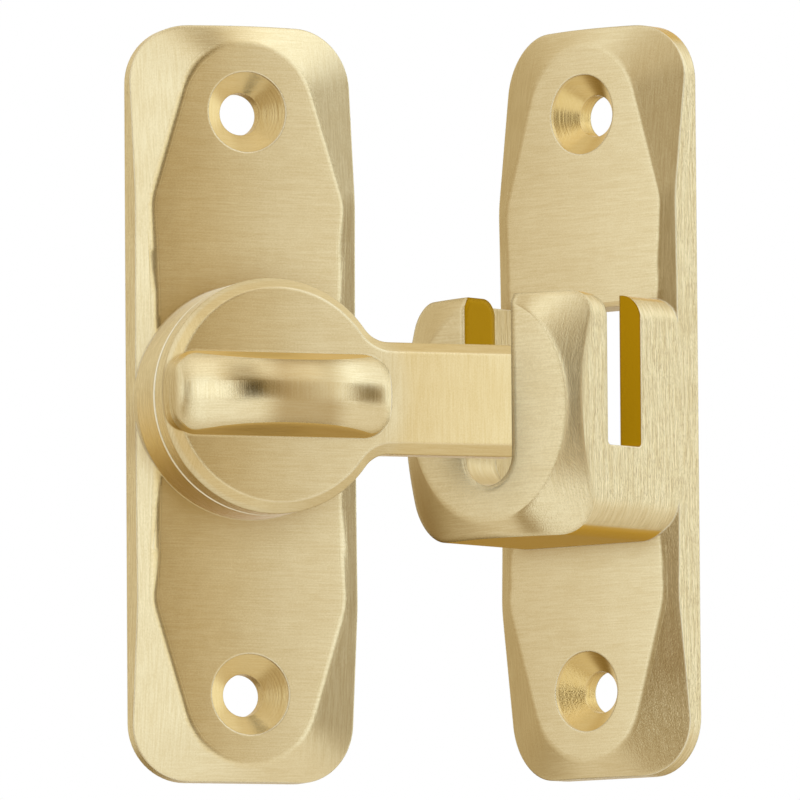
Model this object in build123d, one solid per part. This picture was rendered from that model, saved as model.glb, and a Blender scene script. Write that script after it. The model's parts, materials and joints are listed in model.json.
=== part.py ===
"""Barn door latch: a turning arm on a backplate and the slotted keeper that the arm drops into.

Frame: the latch's backplate stands in the XZ plane with its back at Y = 0 and its front towards -Y.
The origin is where the pivot axis meets the plate's back. At rest the arm points along +X.
"""
import os
from math import asin, atan2, cos, hypot, radians, sin, sqrt, tan

from build123d import *

# Backplates, the same casting pattern on the latch and on the keeper
plate_width = 30.6
plate_height = 100.0
plate_corner_radius = 7.75
plateau_height = 5.3
bevel_angle = 25.0
plateau_end_radius = 9.3
shoulder_half_width = 13.4
shoulder_inset = 23.5
shoulder_radius = 7.0
waist_half_width = 12.7
plateau_edge_radius = 3.0

# Screw holes in the backplates
hole_inset = 11.5
hole_diameter = 5.6
countersink_diameter = 10.7
countersink_lip = 0.5
countersink_angle = 90.0

# Boss on the latch plate and the recess behind it
boss_diameter = 31.0
boss_height = 12.4
boss_root = 3.6
boss_edge_chamfer = 0.25
recess_diameter = 22.0
recess_depth = 7.5
bore_diameter = 9.0

# Turning disc, arm and pivot post
disc_gap = 0.2
disc_thickness = 5.2
rim_chamfer_width = 1.4
rim_chamfer_depth = 2.0
arm_height = 14.8
arm_reach = 34.6
arm_root_radius = 4.0
arm_tip_radius = 2.0
disc_edge_chamfer = 0.2
post_clearance = 0.05

# Thumb bar on the disc
bar_width = 11.0
bar_inset = 0.1
bar_end_height = 2.6
bar_middle_height = 6.9
bar_draft_angle = 14.0
bar_end_draft_angle = 5.0
bar_corner_radius = 3.5
bar_crown_width = 6.2
bar_crown_angle = 50.0
bar_crown_chamfer = 1.9
bar_end_angle = 30.0
bar_end_chamfer = 1.6

# Washers and screw of the pivot
running_gap = 0.05
friction_washer_diameter = 20.0
friction_washer_thickness = 0.7
washer_clearance = 0.2
spring_washer_diameter = 18.0
spring_washer_thickness = 0.5
spring_washer_height = 0.8
retaining_washer_diameter = 19.0
retaining_washer_thickness = 1.2
screw_diameter = 5.0
screw_length = 9.0
screw_head_diameter = 9.5
screw_head_height = 3.0
screw_head_chamfer = 0.9
screw_clearance = 0.05
cross_length = 5.0
cross_width = 1.1
cross_depth = 1.7

# Keeper block
block_depth = 25.0
block_top = 13.0
block_bottom = -19.1
block_top_radius = 3.5
block_bottom_radius = 5.5
oval_half_width = 13.4
oval_half_height = 14.7
oval_centre_height = -2.3
oval_bevel_angle = 29.0
front_wall = 6.2
side_wall = 3.6
notch_width = 8.0
notch_bottom = -12.2
slot_start = 11.9
slot_bottom = -7.3
slot_corner_radius = 0.6
plate_opening_top = 12.4
plate_opening_radius = 2.5
prong_back_radius = 2.4

# Where the keeper stands: turned about the vertical so that the arm's tip lies in its notch
keeper_turn = 60.0
keeper_rise = 1.0
arm_clearance = 0.32

# How far cutters reach past the faces they open
overshoot = 1.0

# Sizes that follow from the ones above
disc_back = boss_height + disc_gap
disc_front = disc_back + disc_thickness
disc_radius = boss_diameter / 2
spring_seat = recess_depth - spring_washer_height - 2 * running_gap
screw_seat = spring_seat - retaining_washer_thickness
hole_height = plate_height / 2 - hole_inset
shoulder_height = plate_height / 2 - shoulder_inset
cavity_front = block_depth - front_wall
cavity_width = plate_width - 2 * side_wall
beyond = plate_height

# The arm's face corner sweeps past one prong and the arm's back edge past the other
turn_cos = cos(radians(keeper_turn))
turn_sin = sin(radians(keeper_turn))
face_tip_radius = arm_tip_radius - rim_chamfer_width
tip_swing = face_tip_radius + hypot(arm_reach - arm_tip_radius, arm_height / 2 - arm_tip_radius)
notch_side = notch_width / 2
keeper_forward = disc_back - arm_clearance - block_depth * turn_cos + notch_side * turn_sin
tip_depth = disc_front + arm_clearance - keeper_forward - notch_side * turn_sin
keeper_across = tip_swing - notch_side * turn_cos + tip_depth * turn_sin / turn_cos


def facing(depth):
    """Sketch plane parallel to the backplate, `depth` in front of its back: x is +X and y is +Z."""
    return Plane(origin=(0, -depth, 0), x_dir=(1, 0, 0), z_dir=(0, -1, 0))


def round_between(start, end, diameter):
    """Round solid on the pivot axis from depth `start` to depth `end`."""
    return extrude(facing(start) * Circle(diameter / 2), amount=end - start)


def turned(points):
    """Solid of revolution about the pivot axis from (radius, depth) points."""
    section = make_face(Polyline(*[(radius, -depth) for radius, depth in points], close=True))
    return revolve(section, Axis.Y)


def on_plane_y(shape, y):
    """Edges of a shape that lie in the plane at this Y."""
    return [e for e in shape.edges() if all(abs(v.Y - y) < 1e-4 for v in e.vertices())
            and abs(e.position_at(0.5).Y - y) < 1e-4]


def plateau_outline():
    """Raised field of a backplate: round at both ends, widest at its shoulders, slightly waisted."""
    rise = hole_height - shoulder_height
    away = hypot(shoulder_half_width, rise)
    heading = atan2(rise, -shoulder_half_width) - asin(plateau_end_radius / away)
    run = sqrt(away**2 - plateau_end_radius**2)
    end_x = shoulder_half_width + run * cos(heading)
    end_z = shoulder_height + run * sin(heading)
    tip_z = hole_height + plateau_end_radius
    outline = Wire([
        ThreePointArc((-end_x, end_z), (0, tip_z), (end_x, end_z)),
        Line((end_x, end_z), (shoulder_half_width, shoulder_height)),
        ThreePointArc((shoulder_half_width, shoulder_height), (waist_half_width, 0),
                      (shoulder_half_width, -shoulder_height)),
        Line((shoulder_half_width, -shoulder_height), (end_x, -end_z)),
        ThreePointArc((end_x, -end_z), (0, -tip_z), (-end_x, -end_z)),
        Line((-end_x, -end_z), (-shoulder_half_width, -shoulder_height)),
        ThreePointArc((-shoulder_half_width, -shoulder_height), (-waist_half_width, 0),
                      (-shoulder_half_width, shoulder_height)),
        Line((-shoulder_half_width, shoulder_height), (-end_x, end_z)),
    ])
    field = make_face(outline)
    shoulders = [v for v in field.vertices() if abs(abs(v.X) - shoulder_half_width) < 1e-6]
    return fillet(shoulders, shoulder_radius)


def screw_hole():
    """Cutter for one countersunk screw hole, on the pivot axis."""
    rim = countersink_diameter / 2
    hole = hole_diameter / 2
    cone_top = plateau_height - countersink_lip
    cone_bottom = cone_top - (rim - hole) / tan(radians(countersink_angle / 2))
    over = plateau_height + overshoot
    return turned([(0, -overshoot), (hole, -overshoot), (hole, cone_bottom), (rim, cone_top),
                   (rim, over), (0, over)])


def backplate():
    """Plate with a drafted raised field that falls away to thin corners, before its holes."""
    slab = extrude(facing(0) * RectangleRounded(plate_width, plate_height, plate_corner_radius),
                   amount=plateau_height)
    field = extrude(facing(plateau_height) * plateau_outline(), amount=-plateau_height,
                    taper=bevel_angle - 90)
    plate = slab & field
    return fillet(on_plane_y(plate, -plateau_height), plateau_edge_radius)


def with_screw_holes(plate):
    """Plate with its two countersunk holes."""
    for height in (hole_height, -hole_height):
        plate -= Pos(0, 0, height) * screw_hole()
    return plate


def latch_plate():
    """Backplate with the round boss that carries the disc, hollow behind for the pivot's washers."""
    boss = round_between(boss_root, boss_height, boss_diameter)
    boss = chamfer(on_plane_y(boss, -boss_height), boss_edge_chamfer)
    pocket_floor = disc_back - running_gap - friction_washer_thickness
    plate = backplate() + boss
    plate -= round_between(-overshoot, recess_depth, recess_diameter)
    plate -= round_between(0, disc_back, bore_diameter)
    plate -= round_between(pocket_floor, disc_back, friction_washer_diameter + washer_clearance)
    return with_screw_holes(plate)


def bar_section(height):
    """Thumb bar's plan at this height over the disc's face: straight flanks, ends that follow the rim."""
    half_width = bar_width / 2 - height * tan(radians(bar_draft_angle))
    reach = disc_radius - bar_inset - (height + rim_chamfer_depth) * tan(radians(bar_end_draft_angle))
    plan = Circle(reach) & Rectangle(3 * reach, 2 * half_width)
    plan = fillet(plan.vertices(), bar_corner_radius * half_width / bar_width * 2)
    return facing(disc_front + height) * plan


def arch_form():
    """Body about the arch's axis, across the disc: its rim is the bar's crown, rounded towards the flanks."""
    rise = bar_middle_height - bar_end_height
    arch_radius = (disc_radius**2 + rise**2) / (2 * rise)
    crown = disc_front + bar_middle_height
    axis_depth = crown - arch_radius
    edge = bar_crown_width / 2
    brow = edge + arch_radius / tan(radians(bar_crown_angle))
    section = make_face(Polyline((-axis_depth, -brow), (-crown, -edge), (-crown, edge), (-axis_depth, brow),
                                 close=True))
    section = chamfer([v for v in section.vertices() if abs(v.X + crown) < 1e-6], bar_crown_chamfer)
    return revolve(Plane.YZ * section, Axis((0, -axis_depth, 0), (0, 0, 1)))


def end_form():
    """Body about the pivot axis that rounds the bar's ends into its crown."""
    wall = disc_radius
    low = disc_front - rim_chamfer_depth - overshoot
    corner = disc_front + bar_end_height
    peak = corner + wall * tan(radians(bar_end_angle))
    section = make_face(Polyline((0, -low), (wall, -low), (wall, -corner), (0, -peak), close=True))
    section = chamfer([v for v in section.vertices() if abs(v.Y + corner) < 1e-6], bar_end_chamfer)
    return revolve(section, Axis.Y)


def thumb_bar():
    """Arched bar across the disc, with drafted flanks and well rounded edges."""
    stock = loft([bar_section(-rim_chamfer_depth), bar_section(bar_middle_height + overshoot)], ruled=True)
    return stock & arch_form() & end_form()


def turn_arm():
    """Disc, arm, thumb bar and pivot post: one casting."""
    arm = Pos(arm_reach / 2, 0) * Rectangle(arm_reach, arm_height)
    plan = Circle(disc_radius) + arm
    root_x = sqrt(disc_radius**2 - (arm_height / 2)**2)
    plan = fillet([v for v in plan.vertices() if abs(v.X - root_x) < 1e-4], arm_root_radius)
    plan = fillet([v for v in plan.vertices() if abs(v.X - arm_reach) < 1e-4], arm_tip_radius)
    body = extrude(facing(disc_back) * plan, amount=disc_thickness)
    face = body.faces().sort_by(Axis.Y)[0]
    body = chamfer(face.edges(), rim_chamfer_width, rim_chamfer_depth, reference=face)
    body = chamfer(on_plane_y(body, -disc_back), disc_edge_chamfer)
    body += thumb_bar()
    body += round_between(spring_seat, disc_back + overshoot, bore_diameter - 2 * post_clearance)
    screw_end = screw_seat + screw_length + overshoot
    body -= round_between(spring_seat - overshoot, screw_end, screw_diameter + 2 * screw_clearance)
    return body


def friction_washer():
    """Thin plastic ring let into the boss, under the disc."""
    top = disc_back - running_gap
    ring = round_between(top - friction_washer_thickness, top, friction_washer_diameter)
    return ring - round_between(top - friction_washer_thickness, top, bore_diameter + washer_clearance)


def spring_washer():
    """Coned spring ring between the boss and the retaining washer."""
    low = spring_seat + running_gap
    high = recess_depth - running_gap
    inner = bore_diameter / 2 + washer_clearance
    outer = spring_washer_diameter / 2
    return turned([(outer, low), (outer, low + spring_washer_thickness), (inner, high),
                   (inner, high - spring_washer_thickness)])


def retaining_washer():
    """Flat washer clamped between the screw's head and the pivot post."""
    ring = round_between(screw_seat, spring_seat, retaining_washer_diameter)
    return ring - round_between(screw_seat, spring_seat, screw_diameter + washer_clearance)


def pivot_screw():
    """Chamfered screw with a cross recess, driven into the post from behind."""
    head_end = screw_seat - screw_head_height
    head = round_between(head_end, screw_seat, screw_head_diameter)
    head = chamfer(on_plane_y(head, -head_end), screw_head_chamfer)
    for turn in (0, 90):
        groove = extrude(facing(head_end - overshoot) * Rectangle(cross_length, cross_width),
                         amount=cross_depth + overshoot)
        head -= groove.rotate(Axis.Y, turn)
    return head + round_between(screw_seat, screw_seat + screw_length, screw_diameter)


def keeper_block():
    """Solid block whose front falls from a flat oval to its four sides."""
    plan = Pos(0, (block_top + block_bottom) / 2) * Rectangle(plate_width, block_top - block_bottom)
    plan = fillet([v for v in plan.vertices() if abs(v.Y - block_top) < 1e-6], block_top_radius)
    plan = fillet([v for v in plan.vertices() if abs(v.Y - block_bottom) < 1e-6], block_bottom_radius)
    spread = block_depth / tan(radians(oval_bevel_angle))
    oval = Pos(0, oval_centre_height) * Ellipse(oval_half_width, oval_half_height)
    skirt = Pos(0, oval_centre_height) * Ellipse(oval_half_width + spread, oval_half_height + spread)
    front = loft([facing(0) * skirt, facing(block_depth) * oval], ruled=True)
    return extrude(facing(0) * plan, amount=block_depth) & front


def prong_rounding():
    """Cutter that rounds the upper back edge of the block's front wall."""
    radius = prong_back_radius
    corner = Pos(-cavity_front - radius / 2, block_top - radius / 2) * Rectangle(radius, radius)
    corner -= Pos(-cavity_front - radius, block_top - radius) * Circle(radius)
    return extrude(Plane.YZ * corner, amount=plate_width, both=True)


def keeper():
    """Backplate with a hollow block, open at the top, with a front notch and two side slots."""
    body = backplate() + keeper_block()
    span = beyond - notch_bottom
    cavity = Pos(0, notch_bottom + span / 2) * Rectangle(cavity_width, span)
    body -= extrude(facing(plateau_height) * cavity, amount=cavity_front - plateau_height)
    opening_height = plate_opening_top - notch_bottom
    opening = Pos(0, notch_bottom + opening_height / 2) * RectangleRounded(
        cavity_width, opening_height, plate_opening_radius)
    body -= extrude(facing(-overshoot) * opening, amount=plateau_height + 2 * overshoot)
    notch = Pos(0, notch_bottom + notch_width / 2) * Circle(notch_width / 2)
    notch += Pos(0, notch_bottom + notch_width / 2 + beyond / 2) * Rectangle(notch_width, beyond)
    body -= extrude(facing(cavity_front - overshoot) * notch, amount=front_wall + 2 * overshoot)
    slot_width = cavity_front - slot_start
    slot = Pos(-(slot_start + slot_width / 2), slot_bottom + beyond / 2) * RectangleRounded(
        slot_width, beyond, slot_corner_radius)
    body -= extrude(Plane.YZ * slot, amount=plate_width, both=True)
    body -= prong_rounding()
    return with_screw_holes(body)


def placed_keeper():
    """Keeper turned and moved to where the arm's tip lies in its notch."""
    return Pos(keeper_across, -keeper_forward, keeper_rise) * Rot(0, 0, -keeper_turn) * keeper()


pieces = {
    "latch_plate": latch_plate,
    "turn_arm": turn_arm,
    "friction_washer": friction_washer,
    "spring_washer": spring_washer,
    "retaining_washer": retaining_washer,
    "pivot_screw": pivot_screw,
    "keeper": placed_keeper,
}

os.makedirs("parts", exist_ok=True)
for name, make in pieces.items():
    export_step(make(), f"parts/{name}.step")
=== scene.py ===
"""Looks of the barn door latch: brushed gold castings, steel and nylon pivot parts, studio and camera."""
import json
from dataclasses import dataclass
from math import atan2, degrees, radians, sin

import bpy
from mathutils import Matrix, Vector


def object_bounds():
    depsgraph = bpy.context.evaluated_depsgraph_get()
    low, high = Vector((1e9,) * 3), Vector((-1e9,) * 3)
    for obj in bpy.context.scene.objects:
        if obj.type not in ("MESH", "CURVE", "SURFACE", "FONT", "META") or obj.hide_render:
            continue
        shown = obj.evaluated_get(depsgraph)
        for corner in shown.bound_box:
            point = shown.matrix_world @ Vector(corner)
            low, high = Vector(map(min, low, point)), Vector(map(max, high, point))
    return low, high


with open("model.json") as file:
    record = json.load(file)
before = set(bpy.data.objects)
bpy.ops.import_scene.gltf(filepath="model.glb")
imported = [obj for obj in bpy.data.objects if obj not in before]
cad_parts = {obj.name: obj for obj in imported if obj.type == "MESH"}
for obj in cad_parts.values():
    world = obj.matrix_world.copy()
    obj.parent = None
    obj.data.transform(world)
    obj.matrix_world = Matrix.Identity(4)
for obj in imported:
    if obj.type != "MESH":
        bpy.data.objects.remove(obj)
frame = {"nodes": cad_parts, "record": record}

cad_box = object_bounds()
nodes = frame["nodes"]
mm_in_metre = 1000.0

# Camera, as the photograph was taken: long lens, from the left and a little below
camera_place = (-0.5024, -1.4977, -0.1362)
camera_turn = -19.33
camera_tilt = 94.95
camera_roll = -0.41
camera_far = 10.0
focal_in_images = 15.0
sensor_width = 36.0

# Keeper's place in the frame
keeper_mount = next(m for m in frame["record"]["mounts"] if m["name"] == "keeper_screws")
keeper_centre = Vector(keeper_mount["pos_m"])
keeper_normal = Vector(keeper_mount["axis"])
keeper_turn = degrees(atan2(-keeper_normal.x, -keeper_normal.y))

# Colours of the plating, as screen values
gold_dull = (210, 188, 139)
gold_light = (226, 208, 163)
# Light gold of the edges: their wear and a painted highlight
gold_edge_wear_and_highlight = (240, 229, 198)
# Darker gold of painted shade
gold_shade = (150, 114, 50)
# Warmer gold of painted shade and reflection, and of the arm's own tint
gold_warm = (212, 168, 62)
# Deep gold of painted shade in the keeper's hollows
gold_hollow_shade = (166, 122, 10)
# Dark gold of painted shade in the joint between boss and disc
gold_gap_shade = (72, 54, 22)

# Its tint at grazing angles, as a linear colour, its least roughness and what the marks add to that
gold_grazing = (0.94, 0.86, 0.66, 1.0)
gold_roughness = 0.23
mark_roughness = 0.06

# Other colours, as screen values
spring_colour = (120, 120, 124)
steel_colour = (200, 203, 208)
nylon_light = (236, 234, 224)
nylon_dull = (222, 218, 204)
floor_dull = (238, 238, 237)
floor_light = (244, 244, 243)

# Marks in the surfaces: features to the millimetre across, forward and up
lines_across = (0.25, 0.3, 6.0)
lines_upright = (5.0, 0.3, 0.25)
wall_streaks = (0.3, 3.2, 0.25)
gold_grain = (4.5, 4.5, 4.5)
gold_patches = (0.15, 0.15, 0.15)
steel_grain = (3.0, 3.0, 3.0)
nylon_clouds = (0.6, 0.6, 0.6)
nylon_grain = (6.0, 6.0, 6.0)
floor_clouds = (0.006, 0.006, 0.006)

# Turning marks: features to the millimetre from the axis and along it
sink_rings = (4.0, 1.0, 1.0)
steel_rings = (4.0, 2.0, 1.0)

# Heights of the marks in metres
gold_mark_height = 0.00001
steel_mark_height = 0.000015
nylon_mark_height = 0.00001

# Radii of softened edges in metres, and the angle in degrees up to which faces are smoothed together
edge_reach = 0.00035
arm_edge_reach = 0.00056
bar_reach = 0.0020
keeper_front_reach = 0.0009
field_reach = 0.0009
smooth_angle = 28.0

# Strengths of the shade and reflection painted on the castings, and of the arm's own tint, from 0 to 1
corner_shade = 0.75
beside_boss_shade = 0.5
bar_middle_shade = 0.6
low_left_shade = 0.6
low_right_shade = 0.4
beside_oval_shade = 0.4
joint_shade = 0.8
left_shade_and_arm_tint = 0.25
latch_sink_warm_shade = 0.35
keeper_sink_warm_shade = 0.5
low_boss_warm_shade = 0.9
low_rim_warm_shade = 0.6
flank_warm_reflection = 0.7
top_warm_shade = 0.8
hollow_shade_share = 0.35

# What is added to the roughness of dull faces, or taken off a glossy one
flank_dullness = 0.35
under_dullness = 0.35
inside_dullness = 0.1
bar_gloss = 0.09

# Tilt to the right of the shaded normals, on the thumb bar and to the right of the keeper's oval
bar_tilt = 0.025
brow_tilt = 0.44

# Sizes of the castings in millimetres, for finishes that keep to one surface
hole_height = 38.5
sink_radius = 5.36
plate_back = 0.1
plateau_depth = 5.25
boss_radius = 15.5
boss_foot = 16.5
boss_front = 12.4
disc_face = 17.8
cavity_half = 11.75
cavity_front = 18.85
block_half = 15.25
block_top = 12.9
block_base = -18.6
slot_back = 11.85
slot_floor = -7.35
notch_half = 4.05
notch_floor = -12.25

# Fall of a backplate's sides from its raised field, in degrees
side_fall = 25.0

# Polishing leaves flat faces slightly crowned: tilt in radians per millimetre, across, forward and up
latch_crown = (0.0054, 0.0, 0.0)
keeper_crown = (0.0050, 0.0, 0.0014)

# Studio that the metal mirrors: rings of walls, as (degrees from straight in front, light) pairs
ring_level = [
    (-180, 0.90), (-165, 1.12), (-151, 0.58), (-135, 0.65), (-115, 0.75), (-101, 0.97), (-90, 1.20),
    (-80, 1.45), (-73, 1.10), (-66, 0.50), (-58, 0.30), (-49, 0.30), (-44, 0.60), (-38, 1.25), (-17, 1.60),
    (-13, 1.00), (-10, 0.32), (-8, 0.05), (-1, 0.05), (4, 0.34), (12, 0.67), (19, 0.95), (30, 1.10),
    (42, 1.35), (54, 1.55), (58, 0.62), (62, 0.25), (68, 0.22), (73, 0.65), (79, 1.30), (92, 1.45),
    (180, 0.90)]
ring_high = [
    (-180, 0.90), (-151, 0.80), (-120, 1.00), (-90, 1.20), (-60, 0.75), (-48, 0.80), (-36, 1.20),
    (-22, 1.35), (-14, 0.80), (-8, 0.26), (3, 0.20), (10, 0.55), (19, 1.08), (45, 1.45), (69, 1.50),
    (90, 1.20), (130, 1.00), (180, 0.90)]
ring_low = [
    (-180, 0.35), (-165, 0.30), (-150, 0.40), (-120, 0.85), (-101, 0.95), (-75, 0.90), (-60, 0.45),
    (-51, 0.40), (-42, 0.80), (-31, 1.30), (-20, 1.20), (-8, 1.15), (5, 1.12), (19, 1.04), (40, 1.05),
    (60, 1.02), (75, 1.00), (95, 0.98), (130, 0.80), (160, 0.50), (180, 0.35)]

# Tint of those walls: the fall in light that makes a wall fully warm, the green and blue that it then
# lacks, and the share of that tint that the brightest walls have in reverse
warm_fall = 0.7
warm_green_loss = 0.24
warm_blue_loss = 0.65
cool_share = 0.5

# Even light on the object, and the background
even_light = (0.95, 0.95, 0.95, 1.0)
white = (1.0, 1.0, 1.0, 1.0)

# Soft lamp above the object, in metres and watts
lamp_place = (0.1, -0.5, 0.9)
lamp_aim = (0.02, -0.01, 0.0)
lamp_size = 1.0
lamp_power = 0.6

# Floor, in metres, and its roughness
floor_half = 1.5
floor_gap = 0.0002
floor_roughness = 0.7


def linear(rgb):
    """Colour written as screen values from 0 to 255, as the linear colour that a socket takes."""
    values = [v / 255 for v in rgb]
    return tuple(v / 12.92 if v <= 0.04045 else ((v + 0.055) / 1.055) ** 2.4 for v in values) + (1.0,)


class Wire:
    """A node's output that takes part in Python arithmetic."""

    def __init__(self, tree, socket):
        self.tree = tree
        self.socket = socket

    def out(self, name):
        """Another output of the same node."""
        return Wire(self.tree, self.socket.node.outputs[name])

    def math(self, operation, first, second=0.0):
        return self.tree.node("ShaderNodeMath", {"operation": operation}, {0: first, 1: second})

    def __add__(self, other):
        return self.math("ADD", self, other)

    def __sub__(self, other):
        return self.math("SUBTRACT", self, other)

    def __rsub__(self, other):
        return self.math("SUBTRACT", other, self)

    def __mul__(self, other):
        return self.math("MULTIPLY", self, other)

    def __truediv__(self, other):
        return self.math("DIVIDE", self, other)

    def __pow__(self, other):
        return self.math("POWER", self, other)

    def __abs__(self):
        return self.math("ABSOLUTE", self)

    def __or__(self, other):
        """The larger of two masks."""
        return self.math("MAXIMUM", self, other)


class Tree:
    """A node tree under construction: a material's or the world's."""

    def __init__(self, owner):
        owner.use_nodes = True
        self.nodes = owner.node_tree.nodes
        self.links = owner.node_tree.links
        self.nodes.clear()

    def node(self, kind, settings=None, inputs=None, output=0):
        """Adds a node, sets it up, fills its sockets with values or links, and gives one of its outputs."""
        made = self.nodes.new(kind)
        for name, value in (settings or {}).items():
            setattr(made, name, value)
        for name, value in (inputs or {}).items():
            if isinstance(value, Wire):
                self.links.new(value.socket, made.inputs[name])
            else:
                made.inputs[name].default_value = value
        return Wire(self, made.outputs[output]) if made.outputs else None

    def ramp(self, factor, stops):
        """Colour that runs through (position, colour) stops."""
        colour = self.node("ShaderNodeValToRGB", inputs={"Fac": factor}, output="Color")
        elements = colour.socket.node.color_ramp.elements
        while len(elements) < len(stops):
            elements.new(1.0)
        for element, (position, value) in zip(elements, stops):
            element.position = position
            element.color = value
        return colour

    def vector(self, operation, first, second=(0, 0, 0), output="Vector"):
        return self.node("ShaderNodeVectorMath", {"operation": operation}, {0: first, 1: second}, output)

    def scaled(self, vector, factor):
        return self.node("ShaderNodeVectorMath", {"operation": "SCALE"}, {0: vector, "Scale": factor},
                         "Vector")

    def turned(self, vector, angle):
        """Vector turned about the vertical, in degrees."""
        return self.node("ShaderNodeVectorRotate", {"rotation_type": "Z_AXIS"},
                         {"Vector": vector, "Angle": radians(angle)})

    def split(self, vector):
        x = self.node("ShaderNodeSeparateXYZ", inputs={"Vector": vector})
        return x, x.out("Y"), x.out("Z")

    def joined(self, x=0.0, y=0.0, z=0.0):
        return self.node("ShaderNodeCombineXYZ", inputs={"X": x, "Y": y, "Z": z})

    def mix(self, factor, first, second):
        """Colour between two colours. The node repeats its sockets' names, so they go by number."""
        return self.node("ShaderNodeMix", {"data_type": "RGBA"}, {0: factor, 6: first, 7: second}, 2)

    def step(self, value, low, high):
        """0 below `low`, 1 above `high`, smooth between them."""
        return self.node("ShaderNodeMapRange", {"interpolation_type": "SMOOTHSTEP"},
                         {"Value": value, "From Min": low, "From Max": high})

    def above(self, value, limit, soft=0.05):
        """1 above a limit and 0 below it, smooth within `soft` of it."""
        return self.step(value, limit - soft, limit + soft)

    def below(self, value, limit, soft=0.05):
        """1 below a limit and 0 above it, smooth within `soft` of it."""
        return 1 - self.above(value, limit, soft)

    def noise(self, place, density, detail=2.0):
        """Noise with so many features to the millimetre along each axis."""
        return self.node("ShaderNodeTexNoise", {"noise_dimensions": "3D"},
                         {"Vector": self.vector("MULTIPLY", place, density), "Scale": 1.0,
                          "Detail": detail, "Roughness": 0.6}, "Fac")

    def bump(self, marks, height, **more):
        """Normal of a surface with marks of such a height in metres."""
        return self.node("ShaderNodeBump", inputs={"Strength": 1.0, "Distance": height, "Height": marks,
                                                   **more}, output="Normal")

    def surface(self, inputs):
        """Gives a material a principled surface with these inputs."""
        shader = self.node("ShaderNodeBsdfPrincipled", inputs=inputs, output="BSDF")
        self.node("ShaderNodeOutputMaterial", inputs={"Surface": shader})


class Face:
    """A point's place in millimetres and the way it faces, square to a backplate: across, forward, up."""

    def __init__(self, tree, turn=0.0, centre=(0, 0, 0)):
        self.turn = turn
        coords = tree.node("ShaderNodeTexCoord", output="Object")
        from_centre = tree.vector("SUBTRACT", coords, centre)
        self.place = tree.scaled(tree.turned(from_centre, turn), mm_in_metre)
        self.x, back, self.z = tree.split(self.place)
        self.depth = 0 - back
        self.radius = (self.x * self.x + self.z * self.z) ** 0.5
        self.side, behind, self.up = tree.split(tree.turned(coords.out("Normal"), turn))
        self.front = 0 - behind


@dataclass
class Finish:
    """What sets one casting's plating apart, as numbers or wires. A mask runs from 0 to 1."""
    lean: object                # tilt of the shaded normal, square to the backplate
    crease: object              # reach of the shade in corners, in metres
    reach: object = edge_reach  # radius of softened edges, in metres
    edge: object = 0.7          # brightness of the edges: their wear and a painted highlight
    rim_highlight: object = 0.0           # mask of a painted highlight on one more of the edges
    shade: object = 0.0         # mask of painted shade, in darker gold
    warm_shade_and_tint: object = 0.0          # mask of warmer gold: painted shade and reflection, and the arm's own tint
    unbrushed_hollow_shade: object = 0.0          # mask of unbrushed hollows, in deep gold that is painted shade
    gap: object = 0.0           # mask of painted shade in the joint between two pieces
    sinks: object = 0.0         # mask of turned countersinks
    upright: object = 0.0       # mask of fronts that are brushed up and down
    streaks: object = 6.0       # height of the streaks on walls
    grain: object = 0.5         # height of the grain on slopes
    dull: object = 0.0          # what is added to the roughness


def new_material(name):
    material = bpy.data.materials.new(name)
    return material, Tree(material)


def hole_distance(face):
    """Distance from the axis of the nearer screw hole of a backplate."""
    up_or_down = abs(face.z) - hole_height
    return (face.x * face.x + up_or_down * up_or_down) ** 0.5


def countersinks(tree, face):
    """Mask of the two countersunk holes of a backplate."""
    return (tree.below(hole_distance(face), sink_radius) * tree.below(face.depth, plateau_depth)
            * tree.above(face.depth, plate_back))


def walls(tree, face):
    """Mask of the faces that stand about square to a backplate."""
    return tree.below(face.front, 0.4, 0.2)


def lower_walls(tree, face):
    """Mask of the walls that face the floor."""
    return walls(tree, face) * tree.above(0 - face.up, 0.2, 0.4)


def left_half(tree, face):
    """Mask that fades out from left to right across the latch."""
    return tree.below(face.x, -3.0, 9.0)


def field_lean(tree, face, clear):
    """Lean that narrows the round between a backplate's raised field and its falling sides, where clear."""
    averaged = tree.node("ShaderNodeBevel", {"samples": 4}, {"Radius": field_reach})
    side, _, up = tree.split(tree.turned(averaged, face.turn))
    away = (side * side + up * up) ** 0.5
    share = tree.step(away, 0.06, 0.37) * sin(radians(side_fall)) / (away + 0.001)
    plate = (clear * tree.above(face.front, 0.885, 0.01) * tree.below(face.depth, plateau_depth + 0.4, 0.1)
             * tree.above(hole_distance(face), sink_radius + 0.8, 0.1))
    return tree.joined(x=(side * share - face.side) * plate, z=(up * share - face.up) * plate)


def latch_finish(tree, face):
    """Latch plate: warmer gold as painted shade in the countersinks, low on the boss and to the left;
    painted highlight and shadow at the boss.
    """
    sinks = countersinks(tree, face)
    # Warmer gold painted as shade on the boss's lower wall
    low_boss = lower_walls(tree, face) * tree.above(face.depth, plateau_depth)
    # Painted shade on the left of the field, fading out to the right
    left_shade = tree.above(face.front, 0.96, 0.02) * left_half(tree, face)
    # Painted highlight around the boss's front
    boss_edge_highlight = (tree.above(face.depth, boss_front - 0.28, 0.03)
                 * tree.above(face.radius, boss_radius - 0.4, 0.1))
    # Painted shadow on the field below and to the left of the boss
    beside_boss = (tree.below(face.radius, boss_foot, 1.6) * tree.below(face.x, -4.0, 5.0)
                   * tree.below(face.z, -3.0, 6.0) * tree.below(face.depth, plateau_depth + 0.2, 0.1))
    clear = tree.above(face.radius, boss_foot, 0.2)
    # Warmer gold in the countersinks is painted shade
    return Finish(lean=field_lean(tree, face, clear), crease=0.006, rim_highlight=boss_edge_highlight, sinks=sinks,
                  shade=beside_boss * beside_boss_shade,
                  warm_shade_and_tint=sinks * latch_sink_warm_shade | low_boss * low_boss_warm_shade | left_shade * left_shade_and_arm_tint)


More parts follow.
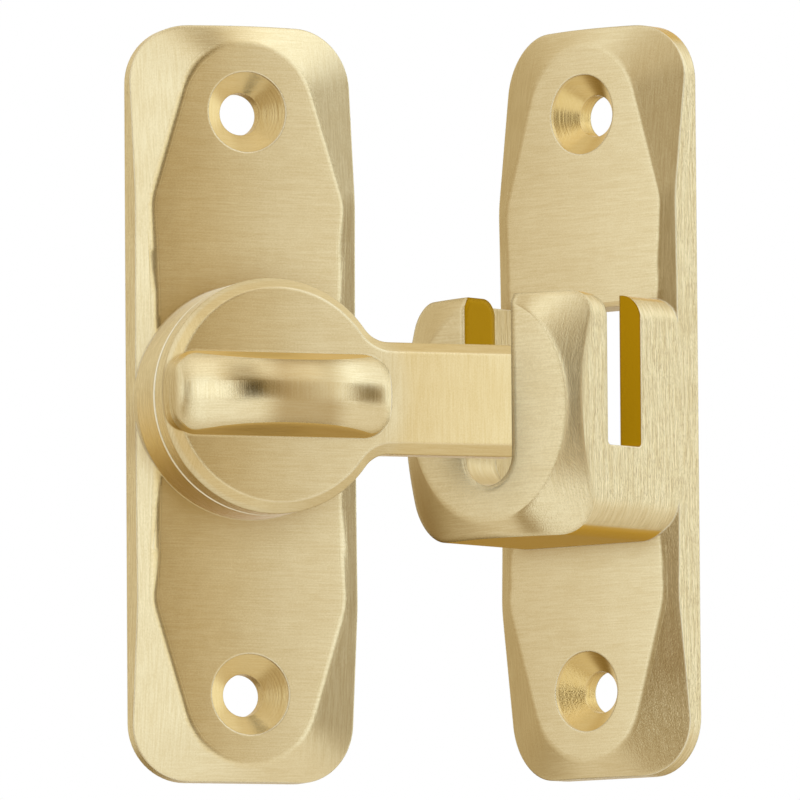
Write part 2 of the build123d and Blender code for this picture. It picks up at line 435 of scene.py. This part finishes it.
def arm_finish(tree, face):
    """Disc, thumb bar and arm: upright lines on bar and arm, a soft, glossy bar, painted shade in the joint
    behind and mid-bar, and warmer gold as painted shade and reflection and the arm's own tint.
    """
    bar = tree.above(face.depth, disc_face + 1.2, 0.6)
    disc = tree.below(face.radius, boss_radius - 0.5, 0.2) * (1 - bar)
    # The arm has a warmer tint of its own
    arm = tree.above(face.radius, boss_radius + 2.0, 2.0)
    # Painted shade on the left of the disc, fading out to the right
    left_shade = disc * left_half(tree, face)
    # Warmer gold painted as shade on the lower walls of the disc
    low_rim = lower_walls(tree, face) * tree.below(face.depth, disc_face)
    # Warmer gold painted on the bar's flanks as a reflection of the disc
    flank = walls(tree, face) * tree.above(abs(face.up), 0.7, 0.2) * tree.above(face.depth, disc_face)
    # Painted shade in the joint between the boss and the back of the disc
    joint = (tree.below(face.depth, boss_front + 0.45, 0.04)
             * tree.below(face.radius, boss_radius + 0.3, 0.1))
    # Painted shade across the middle of the thumb bar
    bar_middle = (bar * tree.step(face.x, -5.0, -1.0) * (1 - tree.step(face.x, 4.5, 9.0))
                  * tree.above(face.front, 0.8, 0.15))
    return Finish(lean=tree.joined(x=bar * bar_tilt), crease=0.0008, edge=0.3, grain=0.4, upright=1 - disc,
                  reach=bar * bar_reach + arm_edge_reach, shade=bar_middle * bar_middle_shade,
                  warm_shade_and_tint=low_rim * low_rim_warm_shade | flank * flank_warm_reflection | (arm | left_shade) * left_shade_and_arm_tint,
                  gap=joint * joint_shade, dull=flank * flank_dullness - bar * bar_gloss)


def keeper_inside(tree, face):
    """Mask of the keeper's hollow, its side slots, its notch and the back of its front."""
    across = abs(face.x)
    hollow = (tree.below(across, cavity_half) * tree.below(face.depth, cavity_front)
              * tree.above(face.z, notch_floor) * tree.below(face.z, block_top + 0.2))
    slots = (tree.below(across, block_half) * tree.above(across, cavity_half)
             * tree.above(face.depth, slot_back) * tree.below(face.depth, cavity_front)
             * tree.above(face.z, slot_floor))
    notch = (tree.below(across, notch_half) * tree.above(face.z, notch_floor)
             * tree.above(face.depth, cavity_front - 0.1) * tree.below(face.front, 0.7)
             * (tree.above(face.z, -7.0, 2.0) * 0.75 + 0.25))
    behind = tree.below(face.front, -0.2, 0.2) * tree.above(face.depth, cavity_front - 0.1)
    return hollow * hollow_shade_share | slots | notch | behind


def keeper_finish(tree, face):
    """Keeper: deep gold as painted shade inside, warmer gold as painted shade on top, underneath and in the
    countersinks, painted shade in the low corners and beside the oval.
    """
    # Deep gold painted as shade in the hollow, the slots and the notch, which are left unbrushed
    inside = keeper_inside(tree, face)
    sinks = countersinks(tree, face)
    # Warmer gold painted as shade on the block's top and underneath
    tops = tree.above(face.up, 0.7, 0.1) * tree.above(face.z, block_top - 0.5, 0.2)
    under = (tree.above(0 - face.up, 0.7, 0.2) * tree.below(face.z, block_base + 0.7, 0.2)
             * tree.above(face.depth, plateau_depth + 0.2))
    head = tree.above(face.depth, cavity_front)
    slope = tree.above(face.front, 0.8, 0.03) * tree.below(face.front, 0.93, 0.02)
    brow = slope * head
    right = tree.above(face.side, 0.2, 0.2)
    # Painted shade low on the left of the front's bevel
    low_left = (brow * tree.below(face.side, -0.15, 0.2) * tree.below(face.z, -6.0, 5.0)
                * tree.below(face.x, -10.0, 3.0))
    # Painted shade low on the plate's right bevel
    low_right = (slope - brow) * right * tree.below(face.z, -14.0, 8.0) * tree.above(face.z, -39.0, 4.0)
    # Painted shade on the bevel to the right of the oval
    beside_oval = brow * right * tree.below(face.z, -1.0, 5.0) * tree.above(face.z, -11.5, 2.5)
    rough_side = tree.above(face.side, 0.25, 0.1) * tree.below(face.z, 0.0, 15.0)
    block = (tree.below(abs(face.x), block_half + 1.0, 0.2) * tree.below(face.z, block_top + 1.1, 0.2)
             * tree.above(face.z, block_base - 1.0, 0.2))
    brow_lean = tree.joined(x=brow * right * brow_tilt)
    return Finish(lean=tree.vector("ADD", brow_lean, field_lean(tree, face, 1 - block)), crease=0.004,
                  reach=head * keeper_front_reach + edge_reach, unbrushed_hollow_shade=inside, sinks=sinks, streaks=12.0,
                  shade=(low_left * low_left_shade | low_right * low_right_shade
                         | beside_oval * beside_oval_shade),
                  warm_shade_and_tint=tops * top_warm_shade | under | sinks * keeper_sink_warm_shade,
                  grain=rough_side * 4.0 + 0.5, dull=under * under_dullness | inside * inside_dullness)


class Brushing:
    """Brush marks of a casting: lines on its fronts and slopes, streaks along its walls, grain all over."""

    def __init__(self, tree, face, finish):
        self.flat = tree.step(abs(face.front), 0.93, 0.985)
        self.wall = tree.below(abs(face.front), 0.42, 0.18)
        self.slope = 1 - self.flat - self.wall
        across = tree.noise(face.place, lines_across)
        upright = tree.noise(face.place, lines_upright)
        sideways = tree.step(abs(face.side) - abs(face.up), -0.2, 0.2)
        self.flat_lines = across * (1 - finish.upright) + upright * finish.upright
        self.slope_lines = across * (1 - sideways) + upright * sideways
        self.streaks = tree.noise(face.place, wall_streaks, detail=3.0)
        self.grain = tree.noise(face.place, gold_grain)
        self.patches = tree.noise(face.place, gold_patches)
        self.rings = tree.noise(tree.joined(x=hole_distance(face)), sink_rings)

    def tone(self):
        """Light and dark of the marks, from 0 to 1."""
        marks = (self.flat * (self.flat_lines * 0.5 + self.grain * 0.5) + self.wall * self.streaks
                 + self.slope * (self.slope_lines * 0.6 + self.grain * 0.4))
        return marks * 0.8 + self.patches * 0.2

    def heights(self, finish):
        """Heights of the marks against each other."""
        brushed = (self.flat * (self.flat_lines * 0.5 + self.grain * 0.35 + self.patches * 4.0)
                   + self.wall * (self.streaks * finish.streaks + self.grain)
                   + self.slope * (self.slope_lines * 0.5 + self.grain * finish.grain))
        return (brushed * (1 - finish.unbrushed_hollow_shade) + self.grain * finish.unbrushed_hollow_shade * 2.0
                + self.rings * finish.sinks * 2.5)


def plating_colour(tree, face, finish, tone, rounded):
    """Colour of the plating: its brushed tone, edges brightened by wear and a painted highlight, painted
    shade in corners, and the casting's own masks.
    """
    true = tree.node("ShaderNodeNewGeometry", output="Normal")
    bend = 1 - tree.vector("DOT_PRODUCT", rounded, true, "Value")
    behind_soft_fronts = tree.below(face.depth, disc_face + 1.0, 0.3)
    # Edges are brightened for their wear and as a painted highlight
    edge = tree.step(bend, 0.004, 0.10) * behind_soft_fronts * finish.edge | finish.rim_highlight
    # Painted shade in the corners, where the surface is closed in
    openness = tree.node("ShaderNodeAmbientOcclusion", {"samples": 4, "only_local": True},
                         {"Distance": finish.crease}, "AO")
    shade = tree.step(1 - openness, 0.05, 0.75) * corner_shade | finish.shade
    colour = tree.mix(tree.step(tone, 0.30, 0.70), linear(gold_dull), linear(gold_light))
    for mask, gold in ((edge, gold_edge_wear_and_highlight), (shade, gold_shade), (finish.warm_shade_and_tint, gold_warm),
                       (finish.unbrushed_hollow_shade, gold_hollow_shade), (finish.gap, gold_gap_shade)):
        colour = tree.mix(mask, colour, linear(gold))
    return colour


def leaning_normal(tree, face, lean, rounded):
    """Normal with softened edges, tilted by a lean that is square to the backplate."""
    lean = tree.node("ShaderNodeVectorTransform", {"vector_type": "VECTOR", "convert_from": "OBJECT",
                                                   "convert_to": "WORLD"},
                     {"Vector": tree.turned(lean, -face.turn)})
    return tree.vector("NORMALIZE", tree.vector("ADD", rounded, lean))


def brushed_gold(name, finish_of, crown, turn=0.0, centre=(0, 0, 0)):
    """Pale gold plating of one casting, brushed over fronts and slopes and along walls."""
    material, tree = new_material(name)
    face = Face(tree, turn, centre)
    finish = finish_of(tree, face)
    brushing = Brushing(tree, face, finish)
    tone = brushing.tone()
    rounded = tree.node("ShaderNodeBevel", {"samples": 6}, {"Radius": finish.reach})
    crowned = tree.scaled(tree.vector("MULTIPLY", face.place, crown), brushing.flat)
    normal = leaning_normal(tree, face, tree.vector("ADD", crowned, finish.lean), rounded)
    tree.surface({"Base Color": plating_colour(tree, face, finish, tone, rounded), "Metallic": 1.0,
                  "Roughness": tone * mark_roughness + gold_roughness + finish.dull,
                  "Specular Tint": gold_grazing,
                  "Normal": tree.bump(brushing.heights(finish), gold_mark_height, Normal=normal)})
    return material


def turned_steel(name, colour, roughness):
    """Steel of the pivot's small parts, with faint turning marks."""
    material, tree = new_material(name)
    face = Face(tree)
    rings = tree.noise(tree.joined(x=face.radius, y=face.depth), steel_rings)
    grain = tree.noise(face.place, steel_grain)
    darker = [v * 0.8 for v in colour]
    tree.surface({"Base Color": tree.mix(rings * 0.3 + grain * 0.2, linear(colour), linear(darker)),
                  "Metallic": 1.0, "Roughness": grain * 0.12 + roughness,
                  "Normal": tree.bump(rings, steel_mark_height)})
    return material


def nylon(name):
    """Natural nylon of the friction washer."""
    material, tree = new_material(name)
    face = Face(tree)
    clouds = tree.noise(face.place, nylon_clouds)
    grain = tree.noise(face.place, nylon_grain)
    tree.surface({"Base Color": tree.mix(clouds, linear(nylon_light), linear(nylon_dull)),
                  "Roughness": grain * 0.15 + 0.4, "Normal": tree.bump(grain, nylon_mark_height)})
    return material


def dress(node, material):
    """Puts a material on a CAD node and smooths its curved faces."""
    mesh = nodes[node].data
    mesh.materials.clear()
    mesh.materials.append(material)
    mesh.shade_smooth()
    mesh.set_sharp_from_angle(angle=radians(smooth_angle))


def wall_colour(level):
    """Light of a studio wall: dim walls are warm and bright ones a little cool."""
    warmth = max(-cool_share, min(1.0, (1 - level) / warm_fall))
    return (level, level * (1 - warm_green_loss * warmth), level * (1 - warm_blue_loss * warmth), 1.0)


def panorama(tree, turn, ring):
    """Light of a ring of walls, at a share of a full turn that starts straight behind."""
    return tree.ramp(turn, [((angle + 180) / 360, wall_colour(level)) for angle, level in ring])


def studio_world():
    """Even light and a white background. Only reflections see the studio: walls with dim gaps between."""
    world = bpy.data.worlds.new("studio")
    bpy.context.scene.world = world
    tree = Tree(world)
    x, y, z = tree.split(tree.node("ShaderNodeTexCoord", output="Generated"))
    azimuth = tree.node("ShaderNodeMath", {"operation": "ARCTAN2"}, {0: x, 1: 0 - y})
    turn = azimuth / radians(360) + 0.5
    studio = tree.mix(tree.step(z, 0.22, 0.52), panorama(tree, turn, ring_level),
                      panorama(tree, turn, ring_high))
    studio = tree.mix(tree.step(0 - z, 0.08, 0.36), studio, panorama(tree, turn, ring_low))
    studio = tree.mix(tree.step(abs(z), 0.72, 0.93), studio, even_light)
    camera_ray = tree.node("ShaderNodeLightPath", output="Is Camera Ray")
    seen = tree.mix(camera_ray.out("Is Glossy Ray"), even_light, studio)
    seen = tree.mix(camera_ray | camera_ray.out("Is Transmission Ray"), seen, white)
    light = tree.node("ShaderNodeBackground", inputs={"Color": seen, "Strength": 1.0})
    tree.node("ShaderNodeOutputWorld", inputs={"Surface": light})


def floor_paint(name):
    """Pale paint, clear from underneath and to reflections, which pass through it to the studio behind."""
    material, tree = new_material(name)
    clouds = tree.noise(Face(tree).place, floor_clouds)
    colour = tree.mix(clouds, linear(floor_dull), linear(floor_light))
    paint = tree.node("ShaderNodeBsdfPrincipled",
                      inputs={"Base Color": colour, "Roughness": floor_roughness}, output="BSDF")
    clear = tree.node("ShaderNodeBsdfTransparent")
    glossy_ray = tree.node("ShaderNodeLightPath", output="Is Glossy Ray")
    underneath = tree.node("ShaderNodeNewGeometry", output="Backfacing")
    passed = underneath | glossy_ray | glossy_ray.out("Is Transmission Ray")
    shader = tree.node("ShaderNodeMixShader", inputs={0: passed, 1: paint, 2: clear})
    tree.node("ShaderNodeOutputMaterial", inputs={"Surface": shader})
    return material


def studio_floor():
    """Floor just under the plates."""
    low = cad_box[0][2] - floor_gap
    corners = [(-floor_half, -floor_half, low), (floor_half, -floor_half, low),
               (floor_half, floor_half, low), (-floor_half, floor_half, low)]
    mesh = bpy.data.meshes.new("floor")
    mesh.from_pydata(corners, [], [(0, 1, 2, 3)])
    mesh.materials.append(floor_paint("floor_pale"))
    floor = bpy.data.objects.new("floor", mesh)
    bpy.context.scene.collection.objects.link(floor)


def add_lamp(name):
    """Soft square lamp that points at the object."""
    data = bpy.data.lights.new(name, "AREA")
    data.shape = "SQUARE"
    data.size = lamp_size
    data.energy = lamp_power
    lamp = bpy.data.objects.new(name, data)
    lamp.location = lamp_place
    lamp.rotation_euler = (Vector(lamp_aim) - Vector(lamp_place)).to_track_quat("-Z", "Y").to_euler()
    bpy.context.scene.collection.objects.link(lamp)


def add_camera(name):
    """Camera at the photograph's viewing angle."""
    data = bpy.data.cameras.new(name)
    data.sensor_width = sensor_width
    data.lens = sensor_width * focal_in_images
    data.clip_end = camera_far
    camera = bpy.data.objects.new(name, data)
    camera.matrix_world = (Matrix.Translation(camera_place) @ Matrix.Rotation(radians(camera_turn), 4, "Z")
                           @ Matrix.Rotation(radians(camera_tilt), 4, "X")
                           @ Matrix.Rotation(radians(camera_roll), 4, "Z"))
    bpy.context.scene.collection.objects.link(camera)
    bpy.context.scene.camera = camera


dress("latch_plate", brushed_gold("plate_gold", latch_finish, latch_crown))
dress("turn_arm", brushed_gold("arm_gold", arm_finish, latch_crown))
dress("keeper", brushed_gold("keeper_gold", keeper_finish, keeper_crown, keeper_turn, keeper_centre))
dress("friction_washer", nylon("washer_nylon"))
dress("spring_washer", turned_steel("spring_steel", spring_colour, 0.3))
steel = turned_steel("plated_steel", steel_colour, 0.22)
dress("retaining_washer", steel)
dress("pivot_screw", steel)

# Latch and keeper mirror the studio, not each other
for casting in ("latch_plate", "turn_arm", "keeper"):
    nodes[casting].visible_glossy = False

studio_world()
studio_floor()
add_lamp("softbox_above")
add_camera("camera")
bpy.context.scene.view_settings.view_transform = "Standard"
